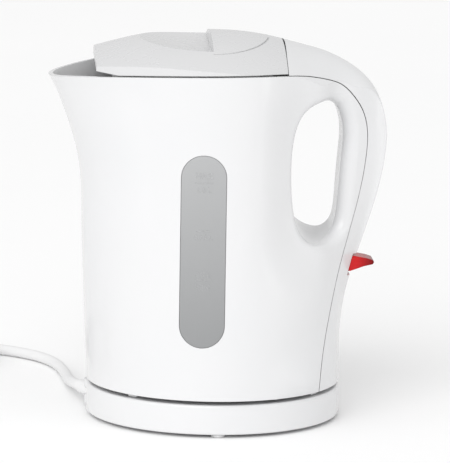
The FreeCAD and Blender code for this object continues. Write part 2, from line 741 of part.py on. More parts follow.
def bent_tube(points, radius, label):
    """A tube along straight runs joined by arcs as large as the runs allow."""
    edges = []
    start = points[0]
    tightest = FAR * FAR
    for before, corner, after in zip(points, points[1:], points[2:]):
        come = corner.sub(before)
        go = after.sub(corner)
        turn = come.getAngle(go)
        reach = 0.45 * min(come.Length, go.Length)
        bend = reach / tan(turn / 2)
        tightest = min(tightest, bend)
        come.normalize()
        go.normalize()
        enter = corner.sub(come * reach)
        leave = corner.add(go * reach)
        middle_way = go.sub(come).normalize()
        middle = corner.add(middle_way * (bend / cos(turn / 2) - bend))
        edges.append(Part.LineSegment(start, enter).toShape())
        edges.append(Part.Arc(enter, middle, leave).toShape())
        start = leave
    edges.append(Part.LineSegment(start, points[-1]).toShape())
    path = Part.Wire(edges)
    length = path.Length
    heading = points[1].sub(points[0])
    profile = Part.Wire(Part.Circle(points[0], heading, radius).toShape())
    tube = path.makePipeShell([profile], True, False)
    share = tube.Volume / (pi * radius * radius * length)
    print(label, "length", round(length, 1), "tightest radius", round(tightest, 1))
    print(label, "volume share", round(share, 4))
    return tube


def steam_tube():
    route = [
        V(STEAM_START, 0, STEAM_LEVEL),
        V(aft(-6.0), 0, STEAM_LEVEL),
        V(aft(9.8), 0, level(139.0)),
        V(aft(12.2), 0, level(121.0)),
        V(aft(9.6), 0, level(101.0)),
        V(aft(5.0), 0, level(82.0)),
        V(aft(2.2), 0, level(72.0)),
    ]
    return bent_tube(route, STEAM_TUBE, "steam tube").cut(bent_tube(route, STEAM_BORE, "steam bore"))


def switch_wires():
    high = CONTROL_LOW + 0.1
    rise = PILLAR_AT - PILLAR + 2.4
    wires = []
    for y in (-5.0, 5.0):
        route = [V(CONTROL_RING, y, high), V(rise, y, high), V(rise, y, level(SWITCH_LOW))]
        wires.append(bent_tube(route, WIRE, "switch wire"))
    return Part.makeCompound(wires)


# Heater, connector and bottom cover

def floor_seal():
    flat = ring(HEATER_OPENING, HEATER_RADIUS + 1.0, PLATE_TOP, FLOOR_UNDER)
    edge = ring(HEATER_RADIUS + 0.1, HEATER_RADIUS + 1.0, PLATE_UNDER, FLOOR_UNDER)
    return flat.fuse(edge).removeSplitter()


def heating_tube():
    low = PLATE_UNDER - 0.1 - TUBE
    sweep = 360 - 2 * TUBE_OPEN_TURN
    body = Part.makeTorus(TUBE_RING, TUBE, V(0, 0, low), UP, 0, 360, sweep)
    return turned(body, TUBE_OPEN_TURN)


def element_pins():
    top = PLATE_UNDER - 2 * TUBE - 0.15
    pins = []
    for turn in (TUBE_OPEN_TURN + 4, -TUBE_OPEN_TURN - 4):
        pin = cylinder(COLD_PIN, top - COLD_PIN_LENGTH, top, TUBE_RING, 0)
        pins.append(turned(pin, turn))
    return Part.makeCompound(pins)


def clamp_ring():
    plain = ring(HEATER_OPENING - 1.0, CLAMP_OUT, CLAMP_UNDER, PLATE_UNDER)
    return plain.cut(clamp_holes().Solids)


def control_body():
    body = ring(COUPLER + LOOSE, CONTROL_RING, CONTROL_LOW, CONTROL_TOP)
    stud = cylinder(1.5, CONTROL_TOP, PLATE_UNDER, COUPLER + LOOSE + 3, 0)
    return body.fuse(around(stud, 3, 60).Solids).removeSplitter()


def coupler_housing():
    body = cylinder(COUPLER, COUPLER_LOW, COUPLER_TOP)
    flange = cylinder(COUPLER_FLANGE, COUPLER_FLANGE_LOW, COUPLER_FLANGE_LOW + COUPLER_FLANGE_THICK)
    socket = cylinder(POST + LOOSE, COUPLER_LOW - 1, COUPLER_CAVITY_TOP)
    return body.fuse(flange).cut(socket).removeSplitter()


CONTACT_SEAT = POST_TOP - POST_SLOT_DEPTH
CONTACT_THICK = 1.6


def coupler_contacts():
    low = CONTACT_SEAT + CONTACT_THICK + LOOSE
    blade = ring(CONTACT_BLADE_IN, CONTACT_BLADE_OUT, low, COUPLER_CAVITY_TOP)
    pin = cylinder(EARTH_PIN, low, COUPLER_CAVITY_TOP)
    return Part.makeCompound([blade, pin])


def base_post():
    flange = cylinder(POST_FLANGE, DECK_UNDER - POST_FLANGE_THICK, DECK_UNDER)
    body = cylinder(POST, DECK_UNDER - POST_FLANGE_THICK, POST_TOP)
    slot = ring(POST_SLOT_IN, POST_SLOT_OUT, CONTACT_SEAT, POST_TOP + 1)
    bore = cylinder(POST_CENTRE_BORE, CONTACT_SEAT, POST_TOP + 1)
    return body.fuse(flange).cut([slot, bore]).removeSplitter()


def base_contacts():
    band = ring(POST_SLOT_IN + 0.1, POST_SLOT_OUT - 0.1, CONTACT_SEAT, CONTACT_SEAT + CONTACT_THICK)
    socket = cylinder(POST_CENTRE_BORE - 0.1, CONTACT_SEAT, CONTACT_SEAT + CONTACT_THICK)
    return Part.makeCompound([band, socket])


def bottom_cover():
    disc = cylinder(BODY_RADIUS - WALL - 2 * LOOSE, BOTTOM_LOW, BOTTOM_TOP)
    disc = disc.cut(cylinder(COUPLER + RUNNING, 0, BOTTOM_TOP + 1))
    pads = []
    edge = BODY_RADIUS - WALL - 2 * LOOSE
    half = BODY_FOOT_PAD / 2
    for turn in BODY_FOOT_TURNS:
        pad = block(edge - BODY_FOOT_PAD, edge, -half, half, BASE_TOP + LOOSE, BOTTOM_LOW)
        pads.append(turned(pad, turn))
    boss_hole = cylinder(SCREW + RUNNING, 0, BOTTOM_TOP + 1, COVER_BOSS_AT, 0)
    return disc.fuse(pads).cut(cover_holes().Solids + [boss_hole]).removeSplitter()


def bottom_screws():
    one = screw(PILLAR_AT, 0, BOTTOM_LOW - SCREW_HEAD_THICK, BOTTOM_COVER + PILLAR_DEPTH)
    last = screw(COVER_BOSS_AT, 0, BOTTOM_LOW - SCREW_HEAD_THICK, BOTTOM_COVER + PILLAR_DEPTH)
    return Part.makeCompound(around(one, COVER_SCREWS, 60).Solids + [last])


# Power base

BASE_PLATE_LOW = FOOT_PROUD
BASE_PLATE_TOP = BASE_PLATE_LOW + BASE_PLATE_THICK
BASE_PILLAR_AT = 40.0
HEAD_SINK = 1.2
CORD_HEADING = CORD_ROUTE[1].sub(CORD_ROUTE[0]).normalize()
SLEEVE_START = CORD_ROUTE[1].sub(CORD_HEADING * SLEEVE_LENGTH)
CLAMP_LEG = 5.2
CLAMP_LONG = 5.0
CLAMP_LIP = 0.9


def sleeve_form(grow):
    thick = CORD / 2 + SLEEVE_THICK + grow
    thin = CORD / 2 + SLEEVE_END_THICK + grow
    return Part.makeCone(thick, thin, SLEEVE_LENGTH, SLEEVE_START, CORD_HEADING)


def cord_sleeve():
    bore = Part.makeCylinder(CORD / 2 + SLEEVE_FIT, SLEEVE_LENGTH, SLEEVE_START, CORD_HEADING)
    return sleeve_form(0.0).cut(bore)


def base_screw_places():
    """Plan places of the screws under the base: three in pillars, one in the cord clamp's leg."""
    places = []
    for i in range(BASE_SCREWS):
        turn = radians(30 + 360.0 * i / BASE_SCREWS)
        places.append((BASE_PILLAR_AT * cos(turn), BASE_PILLAR_AT * sin(turn)))
    middle = SLEEVE_START.add(CORD_HEADING * (CLAMP_LONG / 2))
    side = UP.cross(CORD_HEADING) * (CORD / 2 + SLEEVE_THICK + SLEEVE_FIT + CLAMP_LEG / 2)
    place = middle.sub(side)
    return places + [(place.x, place.y)]


BASE_SCREW_LENGTH = 4.5


def base_screw_holes():
    top = BASE_PLATE_TOP + BASE_SCREW_LENGTH + LOOSE
    return [cylinder(SCREW + RUNNING, 0, top, x, y) for x, y in base_screw_places()]


def base_shell():
    solid = cylinder(BASE_RADIUS, FOOT_PROUD, BASE_TOP)
    top_edge = [e for e in solid.Edges if abs(e.BoundBox.ZMin - BASE_TOP) < 0.01]
    solid = solid.makeFillet(1.2, top_edge)
    low_edge = [e for e in solid.Edges if e.BoundBox.ZMax < FOOT_PROUD + 0.01]
    solid = solid.makeFillet(0.9, low_edge)
    exit_way = V(CORD_ROUTE[1].x, CORD_ROUTE[1].y, 0).add(V(CORD_ROUTE[0].x, CORD_ROUTE[0].y, 0)).normalize()
    centre = exit_way * (BASE_RADIUS - SLEEVE_BOSS_SET)
    boss = cylinder(SLEEVE_BOSS, FOOT_PROUD, DECK_UNDER, centre.x, centre.y)
    shell = solid.cut(cylinder(BASE_RADIUS - BASE_WALL, 0, DECK_UNDER))
    pillar = cylinder(PILLAR, BASE_PLATE_TOP, DECK_UNDER + 1, BASE_PILLAR_AT, 0)
    boss = boss.cut(cylinder(BASE_RADIUS - BASE_WALL, 0, DECK_UNDER))
    shell = shell.fuse([boss] + around(pillar, BASE_SCREWS, 30).Solids)
    post_hole = cylinder(POST + LOOSE, 0, BASE_TOP + 1)
    shell = shell.cut([sleeve_form(SLEEVE_FIT), post_hole] + base_screw_holes())
    return shell.removeSplitter()


def base_plate():
    disc = cylinder(BASE_RADIUS - BASE_WALL - LOOSE, BASE_PLATE_LOW, BASE_PLATE_TOP)
    sinks = [cylinder(SCREW_HEAD + 0.2, 0, BASE_PLATE_LOW + HEAD_SINK, x, y) for x, y in base_screw_places()]
    return disc.cut(base_screw_holes() + sinks)


def base_screws():
    low = BASE_PLATE_LOW + HEAD_SINK - SCREW_HEAD_THICK
    length = BASE_PLATE_TOP - BASE_PLATE_LOW - HEAD_SINK + BASE_SCREW_LENGTH
    return Part.makeCompound([screw(x, y, low, length) for x, y in base_screw_places()])


def base_feet():
    feet = []
    for turn in BASE_FOOT_TURNS:
        feet.append(turned(cylinder(BASE_FOOT, 0, FOOT_PROUD, BASE_FOOT_AT, 0), turn))
    return Part.makeCompound(feet)


def cord_clamp():
    """A hook over the sleeve's inner end, with its leg on the base plate."""
    outboard = CORD / 2 + SLEEVE_THICK + SLEEVE_FIT + CLAMP_LIP
    inboard = CORD / 2 + SLEEVE_THICK + SLEEVE_FIT + CLAMP_LEG
    high = CORD_ROUTE[0].z + CORD / 2 + SLEEVE_THICK + 1.2
    arch = block(0, CLAMP_LONG, -inboard, outboard, BASE_PLATE_TOP, high)
    arch.rotate(V(0, 0, 0), UP, degrees(atan2(CORD_HEADING.y, CORD_HEADING.x)))
    arch.translate(V(SLEEVE_START.x, SLEEVE_START.y, 0))
    room = sleeve_form(SLEEVE_FIT)
    return arch.cut([room] + base_screw_holes())


# Cord, coil and plug

COIL_OUTER = COIL_MIDDLE + COIL_PITCH / 2
COIL_START = CORD_ROUTE[-1]
COIL_CENTRE = V(COIL_START.x, COIL_START.y - COIL_OUTER, COIL_START.z)


def coil_node(turns):
    """Place and heading on the coil, some turns from its start."""
    angle = radians(90 + 360 * turns)
    inward = turns if turns <= COIL_REVERSAL else 2 * COIL_REVERSAL - turns
    radius = COIL_OUTER - COIL_PITCH * inward
    climb = (turns - COIL_REVERSAL) / COIL_CLIMB + 0.5
    share = min(1.0, max(0.0, climb))
    place = COIL_CENTRE.add(V(radius * cos(angle), radius * sin(angle), COIL_PITCH * share))
    slope = 1.5 * COIL_PITCH / (2 * pi * radius * COIL_CLIMB) if 0 < share < 1 else 0.0
    heading = V(-sin(angle), cos(angle), slope).normalize()
    return place, heading


def biarc(p, t, q, u):
    """Two arcs that leave p along t and reach q along u."""
    v = q.sub(p)
    s = t.add(u)
    a = 2 * (t.dot(u) - 1)
    b = -2 * v.dot(s)
    c = v.dot(v)
    if abs(a) < 1e-9:
        d = -c / b
    else:
        d = (-b - sqrt(b * b - 4 * a * c)) / (2 * a)
    first = p.add(t * d)
    second = q.sub(u * d)
    joint = first.add(second) * 0.5
    arcs = []
    for start, corner, end in ((p, first, joint), (joint, second, q)):
        weight = end.sub(start).Length / (2 * d)
        middle = start.add(corner * (2 * weight)).add(end) * (1 / (2 + 2 * weight))
        arcs.append(Part.Arc(start, middle, end).toShape())
    return arcs


def coil_path():
    edges = []
    quarters = round(4 * COIL_TURNS)
    for k in range(quarters):
        p, t = coil_node(k / 4)
        q, u = coil_node((k + 1) / 4)
        edges.extend(biarc(p, t, q, u))
    return Part.Wire(edges)


def least_gap(path):
    """Least gap of the coil's tube to itself, measured on points."""
    points = path.discretize(Distance=2.0)
    step = path.Length / (len(points) - 1)
    apart = int(4 * CORD / step)
    least = FAR
    for i in range(len(points)):
        for j in range(i + apart, len(points)):
            least = min(least, points[i].distanceToPoint(points[j]))
    return least - CORD


def cord_coil():
    path = coil_path()
    p, t = coil_node(0.0)
    profile = Part.Wire(Part.Circle(p, t, CORD / 2).toShape())
    tube = path.makePipeShell([profile], True, False)
    share = tube.Volume / (pi * CORD * CORD / 4 * path.Length)
    print("coil length", round(path.Length, 1), "least gap", round(least_gap(path), 2))
    print("coil volume share", round(share, 4))
    return tube


def coil_tie():
    """A band round the coil's turns, half a turn from where the cord comes in."""
    inner = coil_node(COIL_REVERSAL + COIL_CLIMB / 2)[0]
    outer = coil_node(0.5)[0]
    fit = CORD / 2 + TIE_FIT
    low = outer.z - fit
    high = inner.z + fit
    near = outer.y - fit
    far = inner.y + fit
    x0 = outer.x - TIE_WIDTH / 2
    x1 = outer.x + TIE_WIDTH / 2
    hole = block(x0 - 1, x1 + 1, near, far, low, high)
    band = block(x0, x1, near - TIE, far + TIE, low - TIE, high + TIE)
    corners = [e for e in band.Edges if abs(e.BoundBox.XLength - TIE_WIDTH) < 0.01]
    band = band.makeFillet(2.0, corners)
    hole_corners = [e for e in hole.Edges if abs(e.BoundBox.XLength - TIE_WIDTH - 2) < 0.01]
    return band.cut(hole.makeFillet(1.4, hole_corners))


def tail_route():
    end = coil_node(COIL_TURNS)[0]
    return [end.add(step) for step in TAIL_STEPS]


def plug_body():
    start = tail_route()[-1]
    neck_end = CORD / 2 + 1.2
    profile = [
        (0.0, 0.0), (neck_end, 0.0), (PLUG_NECK, PLUG_NECK_LENGTH),
        (PLUG_BODY, PLUG_NECK_LENGTH + PLUG_SHOULDER),
        (PLUG_BODY, PLUG_NECK_LENGTH + PLUG_SHOULDER + PLUG_BODY_LENGTH),
        (0.0, PLUG_NECK_LENGTH + PLUG_SHOULDER + PLUG_BODY_LENGTH),
    ]
    face = Part.Face(polygon([V(start.x + r, start.y - along, start.z) for r, along in profile]))
    return face.revolve(start, ACROSS, 360)


def plug_pins():
    start = tail_route()[-1]
    front = start.y - PLUG_NECK_LENGTH - PLUG_SHOULDER - PLUG_BODY_LENGTH
    pins = []
    for side in (-0.5, 0.5):
        x = start.x + side * PLUG_PIN_SPACING
        pin = cross_bar(PLUG_PIN, x, start.z, front - PLUG_PIN_LENGTH, front)
        tip = [e for e in pin.Edges if e.BoundBox.YMax < front - PLUG_PIN_LENGTH + 0.01]
        pins.append(pin.makeFillet(1.2, tip))
    return Part.makeCompound(pins)


window, seal = water_window()
disc_low = CONTROL_TOP + 0.1
disc = cylinder(DISC, disc_low, disc_low + DISC_THICK, (COUPLER + LOOSE + CONTROL_RING) / 2, 0)
clamp_screw = screw(CLAMP_BOSS_AT, 0, CLAMP_UNDER - SCREW_HEAD_THICK, CLAMP_SCREW_LENGTH)
steam_disc_low = level(SWITCH_HIGH) + 0.1
lamp_z = LEVER_Z - LEVER_HUB - LOOSE - LAMP
lamp_x = SWITCH_BACK + LOOSE + LAMP

os.makedirs("parts", exist_ok=True)
PIECES = {
    "base_shell": base_shell(),
    "base_plate": base_plate(),
    "base_feet": base_feet(),
    "base_screws": base_screws(),
    "base_post": base_post(),
    "base_contacts": base_contacts(),
    "cord_sleeve": cord_sleeve(),
    "cord_clamp": cord_clamp(),
    "supply_cord": bent_tube(CORD_ROUTE, CORD / 2, "supply cord"),
    "cord_coil": cord_coil(),
    "coil_tie": coil_tie(),
    "cord_tail": bent_tube(tail_route(), CORD / 2, "cord tail"),
    "plug_body": plug_body(),
    "plug_pins": plug_pins(),
    "coupler_housing": coupler_housing(),
    "coupler_contacts": coupler_contacts(),
    "jug_shell": jug_shell(),
    "handle_cover": handle_cover(),
    "water_window": window,
    "window_seal": seal,
    "floor_plate": cylinder(HEATER_RADIUS, PLATE_UNDER, PLATE_TOP),
    "floor_seal": floor_seal(),
    "heating_tube": heating_tube(),
    "element_pins": element_pins(),
    "clamp_ring": clamp_ring(),
    "clamp_screws": around(clamp_screw, CLAMP_SCREWS, 30),
    "control_body": control_body(),
    "dry_boil_discs": around(disc, 2, 90),
    "bottom_cover": bottom_cover(),
    "bottom_screws": bottom_screws(),
    "switch_housing": switch_housing(),
    "switch_pin": cross_bar(LEVER_PIN, LEVER_X, LEVER_Z, -EAR_FAR, EAR_FAR),
    "steam_disc": cylinder(4.2, steam_disc_low, steam_disc_low + 0.3, (SWITCH_FRONT + SWITCH_BACK) / 2, 0),
    "indicator_lamp": cross_bar(LAMP, lamp_x, lamp_z, -LAMP_LENGTH / 2, LAMP_LENGTH / 2),
    "steam_tube": steam_tube(),
    "switch_wires": switch_wires(),
    "hinge_bracket": hinge_bracket(),
    "hinge_pin": cross_bar(HINGE_PIN, HINGE_X, HINGE_Z, -HINGE_PIN_HALF, HINGE_PIN_HALF),
    "lid_top": lid_top(),
    "lid_liner": lid_liner(),
    "switch_lever": switch_lever(),
}
for name, shape in PIECES.items():
    save(shape, name)
print("hinge", round(HINGE_X, 2), round(HINGE_Z, 2), "lever", round(LEVER_X, 2), round(LEVER_Z, 2))
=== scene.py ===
# %% [markdown]
# A one-litre cordless kettle, white all over, on its round power base. The solid model gives every
# piece its shape and place, in metres, and this file gives the pieces their looks. It starts by
# loading that model as a fixed frame.

# %% load the frame
import math

import bmesh
import bpy
from mathutils import Matrix, Vector


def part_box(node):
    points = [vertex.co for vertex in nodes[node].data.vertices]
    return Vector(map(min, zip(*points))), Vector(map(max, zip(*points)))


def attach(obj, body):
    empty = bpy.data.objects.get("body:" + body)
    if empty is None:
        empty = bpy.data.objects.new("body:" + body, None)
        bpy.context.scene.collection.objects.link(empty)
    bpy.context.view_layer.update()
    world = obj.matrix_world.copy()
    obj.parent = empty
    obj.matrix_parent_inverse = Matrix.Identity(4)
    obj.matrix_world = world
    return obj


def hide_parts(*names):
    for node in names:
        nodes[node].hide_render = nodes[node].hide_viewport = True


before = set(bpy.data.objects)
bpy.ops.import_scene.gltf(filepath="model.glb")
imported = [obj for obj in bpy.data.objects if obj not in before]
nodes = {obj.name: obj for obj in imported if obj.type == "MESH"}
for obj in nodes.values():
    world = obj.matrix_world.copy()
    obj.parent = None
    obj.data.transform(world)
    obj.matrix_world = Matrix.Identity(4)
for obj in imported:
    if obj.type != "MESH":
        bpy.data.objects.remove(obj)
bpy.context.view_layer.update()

# %% [markdown]
# The camera comes first, because everything is judged through it. It stands two metres away with a
# long lens, a little above the kettle, so the walls stay almost upright in the picture. A look-at
# constraint would also aim it, but it can't roll the camera, and the picture is turned by almost a
# degree. So the three camera axes are worked out and written into its matrix.

# %% camera
PICTURE = (450, 463)
FOCAL_PIXELS = 3994.4
camera_at = Vector((-0.1026, -1.9571, 0.4149))
deck_middle = Vector((0.0, 0.0, 0.016))
deck_in_picture = (212.38, 380.16)
roll = math.radians(0.914)

forward = (deck_middle - camera_at).normalized()
level_right = forward.cross(Vector((0, 0, 1))).normalized()
level_up = level_right.cross(forward)
right = level_right * math.cos(roll) + level_up * math.sin(roll)
up = level_up * math.cos(roll) - level_right * math.sin(roll)
aside = (PICTURE[0] / 2 - deck_in_picture[0]) / FOCAL_PIXELS
above = (deck_in_picture[1] - PICTURE[1] / 2) / FOCAL_PIXELS
aim = (forward + right * aside + up * above).normalized()
right = (right - aim * right.dot(aim)).normalized()
up = right.cross(aim)

lens = bpy.data.cameras.new("camera")
lens.sensor_width = 36.0
lens.lens = FOCAL_PIXELS * lens.sensor_width / max(PICTURE)
camera = bpy.data.objects.new("camera", lens)
camera.matrix_world = Matrix((
    (right.x, up.x, -aim.x, camera_at.x),
    (right.y, up.y, -aim.y, camera_at.y),
    (right.z, up.z, -aim.z, camera_at.z),
    (0, 0, 0, 1),
))
bpy.context.scene.collection.objects.link(camera)
bpy.context.scene.camera = camera
print("camera lens", round(lens.lens, 1), "mm")

# %% [markdown]
# The supply cord is a round white lead. It leaves the base at the back left, drops to the table and
# runs out of the picture, where the rest of it lies in a small tied coil with the plug beside it. A
# mesh tube would do, but a curve with a round bevel stays smooth at any zoom, and its control points
# are the same route that the solid model's tube follows. The bevel has a radius of one, and each point
# scales it to the cord's own. The coil's points come from its own rule: it winds in, climbs one layer
# while it turns back, and winds out again.

# %% cord route
CORD = 0.0055
cord_route = [Vector(p) / 1000 for p in (
    (-57.3, 6.8, 8.0), (-65.3, 24.0, 8.0), (-69.3, 42.0, 6.0), (-70.9, 60.0, 3.8), (-71.9, 77.0, 2.9),
    (-74.0, 94.0, 2.8), (-78.0, 111.0, 2.8), (-86.0, 126.5, 2.8), (-98.5, 139.5, 2.8),
    (-114.5, 148.0, 3.1), (-132.0, 151.2, 3.75), (-149.0, 151.2, 3.75),
)]
coil_outer = 0.03605
coil_pitch = 0.0061
coil_turns, coil_reversal, coil_climb = 2.25, 1.25, 0.5
coil_parts = 16
coil_centre = cord_route[-1] - Vector((0, coil_outer, 0))


def coil_point(turns):
    """A place on the coil, some turns after its start."""
    angle = math.radians(90 + 360 * turns)
    inward = turns if turns <= coil_reversal else 2 * coil_reversal - turns
    radius = (coil_outer - coil_pitch * inward) / math.cos(math.radians(360 / coil_parts) / 2)
    share = min(1.0, max(0.0, (turns - coil_reversal) / coil_climb + 0.5))
    rise = coil_pitch * share * share * (3 - 2 * share)
    return coil_centre + Vector((radius * math.cos(angle), radius * math.sin(angle), rise))


coil_points = [coil_point((i + 0.5) / coil_parts) for i in range(round(coil_parts * coil_turns))]
end_radius = coil_outer - coil_pitch * (2 * coil_reversal - coil_turns)
coil_end = coil_centre + Vector((-end_radius, 0, coil_pitch))
tail = [coil_end + Vector(p) / 1000 for p in (
    (0, -11.0, 0), (0, -24.0, 2.4), (0, -37.0, 6.2), (0, -49.0, 8.4), (0, -60.0, 8.4),
)]
route = cord_route + coil_points + tail
print("cord points", len(route))

# %% cord
cord_curve = bpy.data.curves.new("cord_lead", "CURVE")
cord_curve.dimensions = "3D"
line = cord_curve.splines.new("NURBS")
line.points.add(len(route) - 1)
for point, place in zip(line.points, route):
    point.co = (*place, 1.0)
    point.radius = CORD / 2
line.order_u = 3
line.use_endpoint_u = True
line.resolution_u = 8
cord_curve.bevel_depth = 1.0
cord_curve.bevel_resolution = 6
cord_curve.use_fill_caps = True
cord_lead = bpy.data.objects.new("cord_lead", cord_curve)
bpy.context.scene.collection.objects.link(cord_lead)
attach(cord_lead, "base")
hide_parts("supply_cord", "cord_coil", "cord_tail")
print("cord", round(CORD * 1000, 1), "mm thick")

# %% [markdown]
# Moulded plastic is never one flat colour: the tone drifts a little where the melt cooled, and the
# gloss has a very fine unevenness. All the plastics here share that, so it is one node group with its
# own inputs, placed in each material. It gives a colour, a roughness and a height for a bump.

# %% moulded skin group


def new_group(name, inputs, outputs):
    group = bpy.data.node_groups.new(name, "ShaderNodeTree")
    for label, kind, value in inputs:
        socket = group.interface.new_socket(label, in_out="INPUT", socket_type=kind)
        socket.default_value = value
    for label, kind in outputs:
        group.interface.new_socket(label, in_out="OUTPUT", socket_type=kind)
    return group, group.nodes.new("NodeGroupInput"), group.nodes.new("NodeGroupOutput")


def noise(tree, scale, detail=2.0):
    """A noise over the object's own coordinates, in metres."""
    place = tree.nodes.new("ShaderNodeTexCoord")
    grain = tree.nodes.new("ShaderNodeTexNoise")
    grain.inputs["Scale"].default_value = scale
    grain.inputs["Detail"].default_value = detail
    tree.links.new(place.outputs["Object"], grain.inputs["Vector"])
    return grain


def span(tree, source, low, high):
    """Carries a value from 0..1 to low..high."""
    step = tree.nodes.new("ShaderNodeMapRange")
    step.inputs["To Min"].default_value = low
    step.inputs["To Max"].default_value = high
    tree.links.new(source, step.inputs["Value"])
    return step.outputs["Result"]


moulded, skin_in, skin_out = new_group(
    "moulded_skin",
    [
        ("Colour", "NodeSocketColor", (0.8, 0.8, 0.8, 1)),
        ("Cool Colour", "NodeSocketColor", (0.75, 0.76, 0.78, 1)),
        ("Roughness", "NodeSocketFloat", 0.25),
        ("Unevenness", "NodeSocketFloat", 0.06),
    ],
    [("Colour", "NodeSocketColor"), ("Roughness", "NodeSocketFloat"), ("Height", "NodeSocketFloat")],
)
drift = noise(moulded, 14.0)
blend = moulded.nodes.new("ShaderNodeMix")
blend.data_type = "RGBA"
moulded.links.new(span(moulded, drift.outputs["Fac"], -0.35, 1.0), blend.inputs["Factor"])
moulded.links.new(skin_in.outputs["Colour"], blend.inputs["A"])
moulded.links.new(skin_in.outputs["Cool Colour"], blend.inputs["B"])
moulded.links.new(blend.outputs["Result"], skin_out.inputs["Colour"])
gloss = noise(moulded, 90.0, 3.0)
uneven = moulded.nodes.new("ShaderNodeMath")
uneven.operation = "MULTIPLY_ADD"
moulded.links.new(gloss.outputs["Fac"], uneven.inputs[0])
moulded.links.new(skin_in.outputs["Unevenness"], uneven.inputs[1])
moulded.links.new(skin_in.outputs["Roughness"], uneven.inputs[2])
moulded.links.new(uneven.outputs["Value"], skin_out.inputs["Roughness"])
peel = noise(moulded, 420.0, 1.0)
moulded.links.new(peel.outputs["Fac"], skin_out.inputs["Height"])
print("group", moulded.name)

# %% [markdown]
# A plastic material places that group and feeds a Principled shader. The pieces' edges come straight
# from the solid model and are sharp, while a moulding has a small radius, so a Bevel node rounds the
# shading there by a few tenths of a millimetre before the fine bump goes on.

# %% plastic materials


def principled(name):
    material = bpy.data.materials.new(name)
    material.use_nodes = True
    return material, material.node_tree, material.node_tree.nodes["Principled BSDF"]


def relief(tree, shader, height, strength, distance, edge):
    """Feeds the shader's normal from a height, over softly rounded edges."""
    bump = tree.nodes.new("ShaderNodeBump")
    bump.inputs["Strength"].default_value = strength
    bump.inputs["Distance"].default_value = distance
    tree.links.new(height, bump.inputs["Height"])
    if edge:
        soft = tree.nodes.new("ShaderNodeBevel")
        soft.samples = 4
        soft.inputs["Radius"].default_value = edge
        tree.links.new(soft.outputs["Normal"], bump.inputs["Normal"])
    tree.links.new(bump.outputs["Normal"], shader.inputs["Normal"])


def two_tone(tree, shader, factor, low, high):
    """Colours the shader by a ramp between two colours."""
    tone = tree.nodes.new("ShaderNodeValToRGB")
    for element, colour in zip(tone.color_ramp.elements, (low, high)):
        element.color = (*colour, 1)
    tree.links.new(factor, tone.inputs["Fac"])
    tree.links.new(tone.outputs["Color"], shader.inputs["Base Color"])


def share_along(tree, axis, start, end):
    """How far a place lies from start to end along one of the object's axes, from 0 to 1."""
    place = tree.nodes.new("ShaderNodeTexCoord")
    split = tree.nodes.new("ShaderNodeSeparateXYZ")
    tree.links.new(place.outputs["Object"], split.inputs["Vector"])
    share = tree.nodes.new("ShaderNodeMapRange")
    share.inputs["From Min"].default_value = start
    share.inputs["From Max"].default_value = end
    tree.links.new(split.outputs[axis], share.inputs["Value"])
    return share.outputs["Result"]


def plastic(name, colour, cool, roughness, unevenness=0.06, edge=0.0005, bump=0.04):
    material, tree, shader = principled(name)
    skin = tree.nodes.new("ShaderNodeGroup")
    skin.node_tree = moulded
    skin.inputs["Colour"].default_value = (*colour, 1)
    skin.inputs["Cool Colour"].default_value = (*cool, 1)
    skin.inputs["Roughness"].default_value = roughness
    skin.inputs["Unevenness"].default_value = unevenness
    tree.links.new(skin.outputs["Colour"], shader.inputs["Base Color"])
    tree.links.new(skin.outputs["Roughness"], shader.inputs["Roughness"])
    relief(tree, shader, skin.outputs["Height"], bump, 0.0001, edge)
    return material, tree, shader


white_gloss, _, _ = plastic("white_gloss", (0.735, 0.735, 0.74), (0.705, 0.71, 0.72), 0.16)
# The lid's colour is set a shade darker than the jug's white: painted shade for its top, which gets less
# light than the front. Its satin gloss is its own.
lid_satin_painted_shade, _, _ = plastic("lid_satin_painted_shade", (0.655, 0.655, 0.66), (0.62, 0.625, 0.635), 0.24, bump=0.008)
pale_satin, _, _ = plastic("pale_satin", (0.74, 0.74, 0.75), (0.70, 0.705, 0.715), 0.42)
dark_heatproof, _, _ = plastic("dark_heatproof", (0.025, 0.025, 0.027), (0.04, 0.04, 0.042), 0.5)
cord_jacket, _, _ = plastic("cord_jacket", (0.80, 0.80, 0.80), (0.76, 0.76, 0.765), 0.45, 0.1, 0.0)
soft_silicone, _, _ = plastic("soft_silicone", (0.68, 0.68, 0.67), (0.62, 0.62, 0.61), 0.55, 0.1)
foot_rubber, _, _ = plastic("foot_rubber", (0.70, 0.70, 0.70), (0.62, 0.62, 0.63), 0.7, 0.1)
wire_red, _, _ = plastic("wire_red", (0.52, 0.03, 0.02), (0.42, 0.02, 0.02), 0.5, 0.1, 0.0)
print("plastics made")

# %% [markdown]
# The level window is frosted, see-through plastic: light goes in and comes out scattered, so it looks
# grey against the white wall, paler at the top and deeper towards the foot of the jug. A full glass
# shader would show the heater too clearly. Here the shader lets some light through a rough surface,
# and a soft ramp up the window's height paints the change of tone into the colour: painted shade,
# deeper towards the foot.

# %% frosted window
frosted, frosted_tree, frosted_shader = principled("frosted_window")
window_low, window_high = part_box("water_window")
window_shade_ramp = share_along(frosted_tree, "Z", window_low.z, window_high.z)
# Painted shade: the window's colour runs from deeper at its foot to paler at its top.
two_tone(frosted_tree, frosted_shader, window_shade_ramp, (0.30, 0.305, 0.31), (0.47, 0.475, 0.48))
frosted_shader.inputs["Transmission Weight"].default_value = 0.12
frosted_shader.inputs["IOR"].default_value = 1.49
frost = noise(frosted_tree, 700.0, 3.0)
frost_gloss = span(frosted_tree, frost.outputs["Fac"], 0.36, 0.5)
frosted_tree.links.new(frost_gloss, frosted_shader.inputs["Roughness"])
relief(frosted_tree, frosted_shader, frost.outputs["Fac"], 0.10, 0.0002, 0.0006)
print("window from", round(window_low.z, 3), "to", round(window_high.z, 3))
